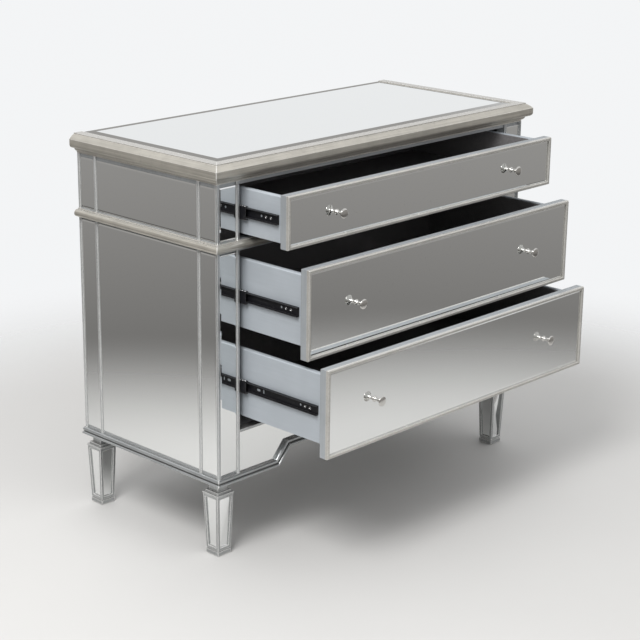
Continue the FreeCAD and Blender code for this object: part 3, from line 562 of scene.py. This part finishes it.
class CHEST_OT_silver_leaf(bpy.types.Operator):
    """Leaf on the mouldings, strips, apron, legs and drawer frames"""

    bl_idname = "chest.silver_leaf"
    bl_label = "Silver Leaf"

    def execute(self, context):
        colours = context.scene.chest_colours
        edge = context.scene.chest_details.soft_edge
        upper = self.lengths("top_moulding") | self.lengths("waist_moulding")
        lower = self.lengths("base_moulding") | {"apron": ALONG_X}
        lower |= {node: ALONG_Z for node in ("side_trims", "stile_trims")}
        legs = {node: ALONG_Z for node in LEGS}
        frames = {f"{drawer}_frame": ALONG_X for drawer in DRAWERS}
        # the sixth column is the width of the lightened edges, a painted highlight as well as rubbing
        for name, leaf, runs, metal, rough, wear_and_highlight_width, soft in (
            ("champagne", colours.champagne, upper, 0.75, 0.30, 0.0020, edge),
            ("silver", colours.silver, lower, 0.80, 0.22, 0.0024, edge),
            ("leg", colours.leg, legs, 0.80, 0.22, 0.0036, edge),
            ("frame", colours.frame, frames, 0.45, 0.30, 0.0012, edge / 3),
        ):
            for node, along in runs.items():
                settings = (colours, leaf, along, metal, rough, wear_and_highlight_width)
                material = finish(f"{name}_leaf_{'xyz'[along]}", silver_leaf, *settings)
                dress(node, material, soft, even="moulding" in node)
        return {"FINISHED"}

    @staticmethod
    def lengths(moulding):
        """A moulding's three lengths and the way that each runs."""
        return {f"{moulding}_front": ALONG_X, f"{moulding}_left": ALONG_Y, f"{moulding}_right": ALONG_Y}


class CHEST_OT_mirrors(bpy.types.Operator):
    """Mirror glass on the top, sides, stiles, apron, legs and drawers"""

    bl_idname = "chest.mirrors"
    bl_label = "Mirrors"

    def execute(self, context):
        colours = context.scene.chest_colours
        edge = context.scene.chest_details.glass_edge
        dress("top_mirror", finish("top_glass", mirror_glass, colours, [ALONG_Z]), edge)
        dress("side_mirrors", finish("side_glass", mirror_glass, colours, [ALONG_X]), edge)
        dress("leg_mirrors", finish("leg_glass", mirror_glass, colours, [ALONG_X, ALONG_Y]), edge)
        for node in ["stile_mirrors", "apron_mirror"] + [f"{drawer}_mirror" for drawer in DRAWERS]:
            dress(node, finish("front_glass", mirror_glass, colours, [ALONG_Y]), edge)
        return {"FINISHED"}


class CHEST_OT_case(bpy.types.Operator):
    """Paint on the case boards, hardboard at the back and pads under the feet"""

    bl_idname = "chest.case"
    bl_label = "Case"

    def execute(self, context):
        colours = context.scene.chest_colours
        edge = context.scene.chest_details.soft_edge
        upright = ("left_side_panel", "right_side_panel", "front_stiles", "corner_blocks")
        level = ("top_board", "bottom_panel", "top_rail", "waist_rail")
        for node in upright:
            dress(node, finish("case_paint_z", satin_paint, colours.case, ALONG_Z), edge)
        for node in level:
            dress(node, finish("case_paint_x", satin_paint, colours.case, ALONG_X), edge)
        dress("slide_battens", finish("case_paint_y", satin_paint, colours.case, ALONG_Y), edge)
        dress("back_panel", finish("hardboard", hardboard, colours.back), edge)
        dress("foot_glides", finish("pad_plastic", pad_plastic, colours.glide), edge, even=True)
        return {"FINISHED"}


class CHEST_OT_drawers(bpy.types.Operator):
    """Paint and lining on the drawer fronts and boxes"""

    bl_idname = "chest.drawers"
    bl_label = "Drawer Boxes"

    def execute(self, context):
        colours = context.scene.chest_colours
        edge = context.scene.chest_details.soft_edge
        lining = finish("black_lining", black_lining, colours.lining)
        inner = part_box("top_drawer_back")[1].x
        sides = finish("lined_sides", lined_side, colours.box, colours.lining, inner + edge)
        for drawer in DRAWERS:
            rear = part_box(f"{drawer}_front")[1].y - edge
            board = finish(f"{drawer}_board", lined_front, colours.slab, colours.lining, rear)
            dress(f"{drawer}_front", board, edge / 3)
            dress(f"{drawer}_sides", sides, edge)
            dress(f"{drawer}_back", lining, edge)
            dress(f"{drawer}_bottom", lining, edge)
        return {"FINISHED"}


class CHEST_OT_slides(bpy.types.Operator):
    """Enamel on the slides, with their ball cages, balls and screws"""

    bl_idname = "chest.slides"
    bl_label = "Slides"

    def execute(self, context):
        colours = context.scene.chest_colours
        details = context.scene.chest_details
        enamel = finish("slide_enamel", slide_enamel, colours.slide, colours.chrome)
        steel = finish("screw_steel", polished_chrome, colours.screw)
        dress("case_slides", enamel, details.soft_edge / 2, even=True)
        for drawer in DRAWERS:
            dress(f"{drawer}_slides", enamel, details.soft_edge / 2, even=True)
            node = f"{drawer}_ball_cages"
            sheets = mesh_of(node, self.cages(node, details))
            cages = add_piece(f"{drawer}_open_cages", sheets, enamel, node)
            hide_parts(node)
            balls = mesh_of(f"{drawer}_balls", self.balls(node, details))
            add_piece(f"{drawer}_balls", balls, steel, node)
            screws = mesh_of(f"{drawer}_screws", self.screws(f"{drawer}_slides", details))
            add_piece(f"{drawer}_screws", screws, steel, drawer)
        return {"FINISHED"}

    @staticmethod
    def rows(cages):
        """The middle height of the cages, and how far above and below it their balls run."""
        low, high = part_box(cages)
        middle = (low.z + high.z) / 2
        heights = [abs(corner.co.z - middle) for corner in NODES[cages].data.vertices]
        return middle, (min(heights) + max(heights)) / 2

    def cages(self, node, details):
        """On each side a thin web, with a flange along its top and its foot for the balls."""
        low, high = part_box(node)
        middle, row = self.rows(node)
        inner = min(abs(corner.co.x) for corner in NODES[node].data.vertices)
        sheet = details.cage_sheet
        top = row + sheet / 2
        shape = bmesh.new()
        for side in (-1, 1):
            outer = side * high.x
            plate(shape, (outer, low.y, middle - top), (outer - side * sheet, high.y, middle + top))
            for height in (middle - row, middle + row):
                near = (outer - side * sheet, low.y, height - sheet / 2)
                plate(shape, near, (side * inner, high.y, height + sheet / 2))
        return shape

    def balls(self, node, details):
        """Two rows of balls through the flanges of the cage on each side."""
        low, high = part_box(node)
        middle, row = self.rows(node)
        reach = high.x - details.ball
        count = int((high.y - low.y) / details.ball_pitch)
        shape = bmesh.new()
        for side in (-1, 1):
            for height in (middle - row, middle + row):
                for step in range(count):
                    along = low.y + details.ball_pitch * (step + 0.5)
                    place = Matrix.Translation((side * reach, along, height))
                    bmesh.ops.create_icosphere(
                        shape, subdivisions=BALL_STEPS, radius=details.ball, matrix=place
                    )
        for face in shape.faces:
            face.smooth = True
        return shape

    def screws(self, members, details):
        """Round-headed screws in the front holes of the drawer members."""
        low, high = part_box(members)
        faces = sorted({round(abs(corner.co.x), 5) for corner in NODES[members].data.vertices})
        shape = bmesh.new()
        for side in (-1, 1):
            for step in range(SLIDE_SCREWS):
                along = low.y + details.screw_start + details.screw_step * step
                place = (side * faces[1], along, (low.z + high.z) / 2)
                screw_head(shape, details.screw, place, (side, 0, 0))
        return shape


def screw_head(shape, radius, place, towards):
    """A domed head with a socket in it."""
    profile = [(across * radius, height * radius) for across, height in SCREW_PROFILE]
    turn(shape, profile, place, towards, SCREW_STEPS)


class CHEST_OT_back_screws(bpy.types.Operator):
    """Screws along the edges of the back board"""

    bl_idname = "chest.back_screws"
    bl_label = "Back Screws"

    def execute(self, context):
        colours = context.scene.chest_colours
        details = context.scene.chest_details
        low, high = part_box("back_panel")
        inset = Vector((details.back_screw_inset, 0, details.back_screw_inset))
        low, high = low + inset, high - inset
        columns = round((high.x - low.x) / details.back_screw_step)
        rows = round((high.z - low.z) / details.back_screw_step)
        places = {(column, row) for column in range(columns + 1) for row in (0, rows)}
        places |= {(column, row) for column in (0, columns) for row in range(rows + 1)}
        shape = bmesh.new()
        for column, row in sorted(places):
            x = low.x + (high.x - low.x) * column / columns
            z = low.z + (high.z - low.z) * row / rows
            screw_head(shape, details.screw, (x, high.y - details.back_screw_sink, z), (0, 1, 0))
        steel = finish("screw_steel", polished_chrome, colours.screw)
        add_piece("back_screws", mesh_of("back_screws", shape), steel, "case")
        return {"FINISHED"}


class CHEST_OT_knobs(bpy.types.Operator):
    """Turned knobs with a spreading foot, a neck and a trumpet head"""

    bl_idname = "chest.knobs"
    bl_label = "Knobs"

    # radius and height of the turning, as shares of the head's radius and of the knob's length
    PROFILE = (
        (0.58, 0.0), (0.58, 0.03), (0.54, 0.065), (0.43, 0.11), (0.355, 0.17), (0.32, 0.26), (0.325, 0.37),
        (0.36, 0.47), (0.43, 0.57), (0.55, 0.68), (0.71, 0.77), (0.87, 0.835), (0.96, 0.865), (1.0, 0.89),
        (1.0, 0.91), (0.975, 0.93), (0.90, 0.95), (0.72, 0.972), (0.48, 0.988), (0.24, 0.997), (0, 1.0),
    )

    def execute(self, context):
        chrome = finish("polished_chrome", polished_chrome, context.scene.chest_colours.chrome)
        for drawer in DRAWERS:
            node = f"{drawer}_knobs"
            low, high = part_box(node)
            head = (high.z - low.z) / 2
            reach = high.y - low.y
            profile = [(radius * head, height * reach) for radius, height in self.PROFILE]
            shape = bmesh.new()
            for side in (-1, 1):
                place = (side * (high.x - head), high.y, (low.z + high.z) / 2)
                turn(shape, profile, place, (0, -1, 0), KNOB_STEPS)
            knobs = add_piece(f"{drawer}_turned_knobs", mesh_of(node, shape), chrome, drawer)
            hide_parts(node)
        return {"FINISHED"}


class CHEST_OT_stage(bpy.types.Operator):
    """Floor, backdrop, lamp and camera"""

    bl_idname = "chest.stage"
    bl_label = "Studio"

    def execute(self, context):
        stage = context.scene.chest_stage
        self.floor(stage)
        self.world(context.scene, stage)
        self.lamp(context.scene, stage)
        self.camera(context.scene, stage)
        context.scene.view_settings.view_transform = "Standard"
        return {"FINISHED"}

    def floor(self, stage):
        """A pale floor that fades into the backdrop."""
        shape = bmesh.new()
        bmesh.ops.create_circle(shape, cap_ends=True, segments=FLOOR_STEPS, radius=stage.floor_far)
        disc = bpy.data.objects.new("floor", mesh_of("floor", shape))
        bpy.context.scene.collection.objects.link(disc)
        disc.data.materials.append(finish("floor", self.floor_finish, stage))

    @staticmethod
    def floor_finish(tree, stage):
        """Smooth pale screed, whole near the chest and gone at its rim."""
        away = tree.node("ShaderNodeVectorMath", {"operation": "LENGTH"}, {0: tree.place()}, "Value")
        clouds = tree.noise(FLOOR_CLOUDS)
        tree.surface(
            Base_Color=tree.mix(clouds, shade(stage.floor, 0.96), solid(stage.floor)),
            Roughness=0.6,
            Alpha=1.0 - tree.ramp(away, stage.floor_near, stage.floor_far),
        )

    @staticmethod
    def world(scene, stage):
        """A pale wall of light behind the chest, soft light in front and overhead, and dim sides."""
        scene.world = bpy.data.worlds.new("studio")
        tree = Tree(scene.world)
        towards = tree.node("ShaderNodeTexCoord", output="Generated")
        height = tree.part(towards, ALONG_Z)
        facing = tree.dot(towards, (math.sin(stage.yaw), math.cos(stage.yaw), 0))
        foot = 1.0 - tree.ramp(height, -0.02, 0.03)
        middle = tree.ramp(height, 0.11, 0.15) * (1.0 - tree.ramp(height, 0.23, 0.28))
        wall = tree.ramp(facing, 0.45, 0.85) * tree.maths("MAXIMUM", foot, middle)
        front = tree.ramp(tree.dot(towards, FRONT_LIGHT), -0.3, 0.4) * tree.ramp(height, -0.02, 0.12)
        above = tree.maths("MAXIMUM", front, tree.ramp(height, 0.36, 0.62))
        dim = tree.mix(tree.ramp(height, -0.42, -0.14), shade(stage.sides, 0.5), shade(stage.sides, 1.4))
        light = tree.mix(tree.maths("MAXIMUM", wall, above), dim, solid(stage.backdrop))
        glow = tree.node("ShaderNodeBackground", None, {"Color": light, "Strength": 1.0})
        tree.node("ShaderNodeOutputWorld", None, {"Surface": glow})

    @staticmethod
    def lamp(scene, stage):
        """A large soft lamp high on the left."""
        lamp = bpy.data.lights.new("lamp", "AREA")
        lamp.size = stage.lamp_size
        lamp.energy = stage.lamp_power
        holder = bpy.data.objects.new("lamp", lamp)
        holder.location = stage.lamp_place
        holder.rotation_euler = (stage.lamp_aim - stage.lamp_place).to_track_quat("-Z", "Y").to_euler()
        scene.collection.objects.link(holder)

    @staticmethod
    def camera(scene, stage):
        """The photograph's viewpoint."""
        level = math.cos(stage.pitch)
        ahead = Vector((level * math.sin(stage.yaw), level * math.cos(stage.yaw), -math.sin(stage.pitch)))
        flat = ahead.cross(Vector((0, 0, 1))).normalized()
        upright = flat.cross(ahead)
        right = flat * math.cos(stage.roll) + upright * math.sin(stage.roll)
        up = right.cross(ahead)
        lens = bpy.data.cameras.new("camera")
        lens.lens = stage.lens
        lens.shift_x = stage.shift_x
        lens.shift_y = stage.shift_y
        camera = bpy.data.objects.new("camera", lens)
        turn_to = Matrix((right, up, -ahead)).transposed().to_4x4()
        camera.matrix_world = Matrix.Translation(stage.camera_place) @ turn_to
        scene.collection.objects.link(camera)
        scene.camera = camera


PROPERTIES = {"chest_colours": ChestColours, "chest_details": ChestDetails, "chest_stage": ChestStage}
OPERATORS = (
    CHEST_OT_silver_leaf,
    CHEST_OT_mirrors,
    CHEST_OT_case,
    CHEST_OT_drawers,
    CHEST_OT_slides,
    CHEST_OT_back_screws,
    CHEST_OT_knobs,
    CHEST_OT_stage,
)


class CHEST_PT_panel(bpy.types.Panel):
    """The chest's finishes, sizes and studio"""

    bl_idname = "CHEST_PT_panel"
    bl_label = "Mirrored Chest"
    bl_space_type = "VIEW_3D"
    bl_region_type = "UI"
    bl_category = "Chest"

    def draw(self, context):
        for operator in OPERATORS:
            self.layout.operator(operator.bl_idname)
        for name in PROPERTIES:
            group = getattr(context.scene, name)
            column = self.layout.column()
            for setting in group.bl_rna.properties:
                if setting.identifier not in {"rna_type", "name"}:
                    column.prop(group, setting.identifier)


def register():
    """Make the settings, operators and panel known to Blender."""
    for name, group in PROPERTIES.items():
        bpy.utils.register_class(group)
        setattr(bpy.types.Scene, name, PointerProperty(type=group))
    for item in OPERATORS + (CHEST_PT_panel,):
        bpy.utils.register_class(item)


def unregister():
    """Take them away again."""
    for item in reversed(OPERATORS + (CHEST_PT_panel,)):
        bpy.utils.unregister_class(item)
    for name, group in PROPERTIES.items():
        delattr(bpy.types.Scene, name)
        bpy.utils.unregister_class(group)


def main():
    """Finish every part and set the stage."""
    register()
    for operator in OPERATORS:
        group, name = operator.bl_idname.split(".")
        getattr(getattr(bpy.ops, group), name)()


if __name__ == "__main__":
    main()
